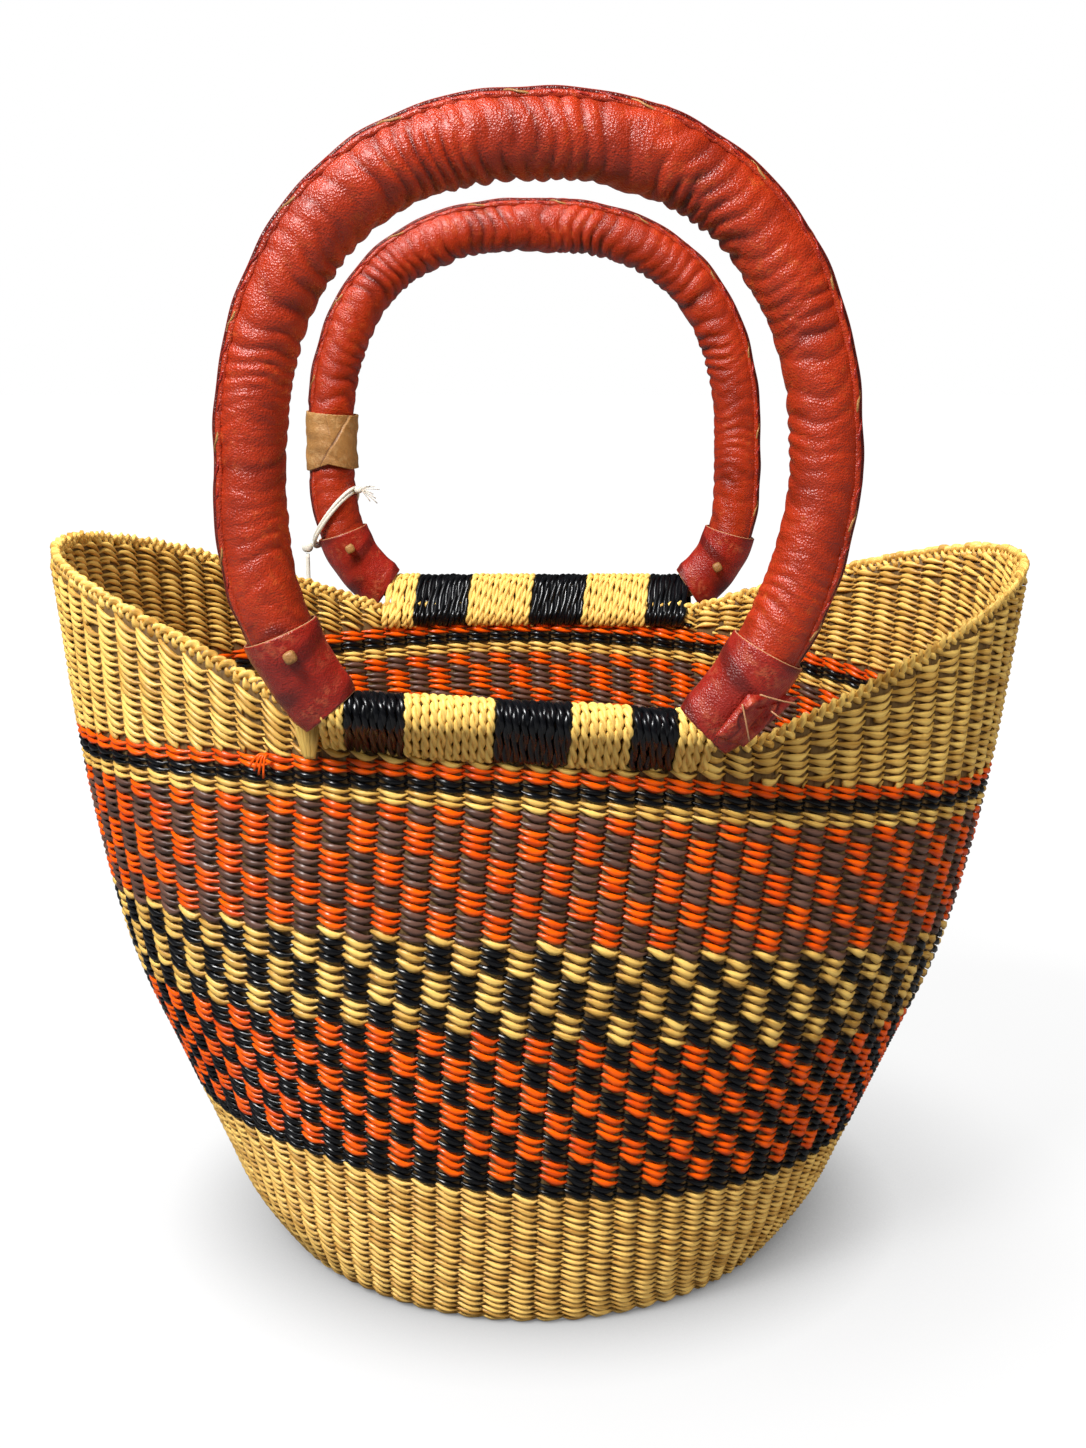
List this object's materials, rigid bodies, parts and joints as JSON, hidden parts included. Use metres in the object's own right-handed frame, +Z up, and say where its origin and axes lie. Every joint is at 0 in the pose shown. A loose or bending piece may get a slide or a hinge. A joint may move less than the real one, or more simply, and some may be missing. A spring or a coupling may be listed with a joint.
{
  "type": "bolga basket",
  "caption": "Oval twined grass market basket with raised ends, striped and checked weft, and a pair of red leather-covered carrying loops bound to its rim",
  "frame": {"origin": "the middle of the underside of the base, on the floor the basket stands on", "axes": "+Z up through the mouth, +X along the mouth's longer way to the lower of the two raised ends, -Y to the front, where the taller loop is"},
  "size_m": [0.3848, 0.2974, 0.4424],
  "materials": {
    "natural_grass": "undyed straw-yellow grass, satin, slightly uneven strand by strand",
    "foot_grass": "undyed grass, a little darker and dustier than above",
    "black_grass": "dyed grass, bluish black, soft sheen",
    "orange_grass": "dyed grass, bright orange, soft sheen",
    "brown_grass": "dyed grass, dull mauve-brown",
    "bundled_grass": "tight bundle of undyed grass, dull",
    "red_leather": "red-orange goat leather, puckered, half glossy, scuffed to tan",
    "crimson_leather": "dark crimson leather, creased, half glossy",
    "tan_leather": "raw tan leather, matte",
    "cotton_string": "twisted white cotton string, matte"
  },
  "bodies": {
    "basket": {"base_start": "bundled_grass", "woven_base": "foot_grass", "natural_foot_band": "foot_grass", "black_edge_band": "black_grass", "orange_black_band": "orange_grass", "natural_black_band": "natural_grass", "orange_brown_band": "brown_grass", "natural_stripe": "natural_grass", "black_stripe": "black_grass", "orange_stripe": "orange_grass", "natural_upper_wall": "natural_grass", "rim_braid": "natural_grass", "grass_knot": "natural_grass", "orange_tuft": "orange_grass", "front_grip_black_winding_1": "black_grass", "front_grip_natural_winding_2": "natural_grass", "front_grip_black_winding_3": "black_grass", "front_grip_natural_winding_4": "natural_grass", "front_grip_black_winding_5": "black_grass", "back_grip_natural_winding_1": "natural_grass", "back_grip_black_winding_2": "black_grass", "back_grip_natural_winding_3": "natural_grass", "back_grip_black_winding_4": "black_grass", "back_grip_natural_winding_5": "natural_grass", "back_grip_black_winding_6": "black_grass"},
    "front_handle": {"front_handle_grass_core": "bundled_grass", "front_handle_leather_sleeve": "red_leather", "front_handle_left_cuff": "crimson_leather", "front_handle_right_cuff": "crimson_leather", "front_handle_left_peg": "tan_leather", "front_handle_right_strap": "crimson_leather"},
    "back_handle": {"back_handle_grass_core": "bundled_grass", "back_handle_leather_sleeve": "red_leather", "back_handle_left_cuff": "crimson_leather", "back_handle_right_cuff": "crimson_leather", "back_handle_left_peg": "tan_leather", "back_handle_right_peg": "tan_leather", "back_handle_tan_patch": "tan_leather", "string_loop": "cotton_string", "string_knot": "cotton_string", "string_tail": "cotton_string"}
  },
  "joints": [
    {"name": "front_handle_tilt", "type": "hinge", "parent": "basket", "child": "front_handle", "pos_m": [0.0025, -0.134, 0.2425], "axis": [-0.9984, 0, 0.0558], "range_deg": [-75, 25]},
    {"name": "back_handle_tilt", "type": "hinge", "parent": "basket", "child": "back_handle", "pos_m": [0, 0.134, 0.2425], "axis": [1, 0, 0], "range_deg": [-75, 30]}
  ]
}
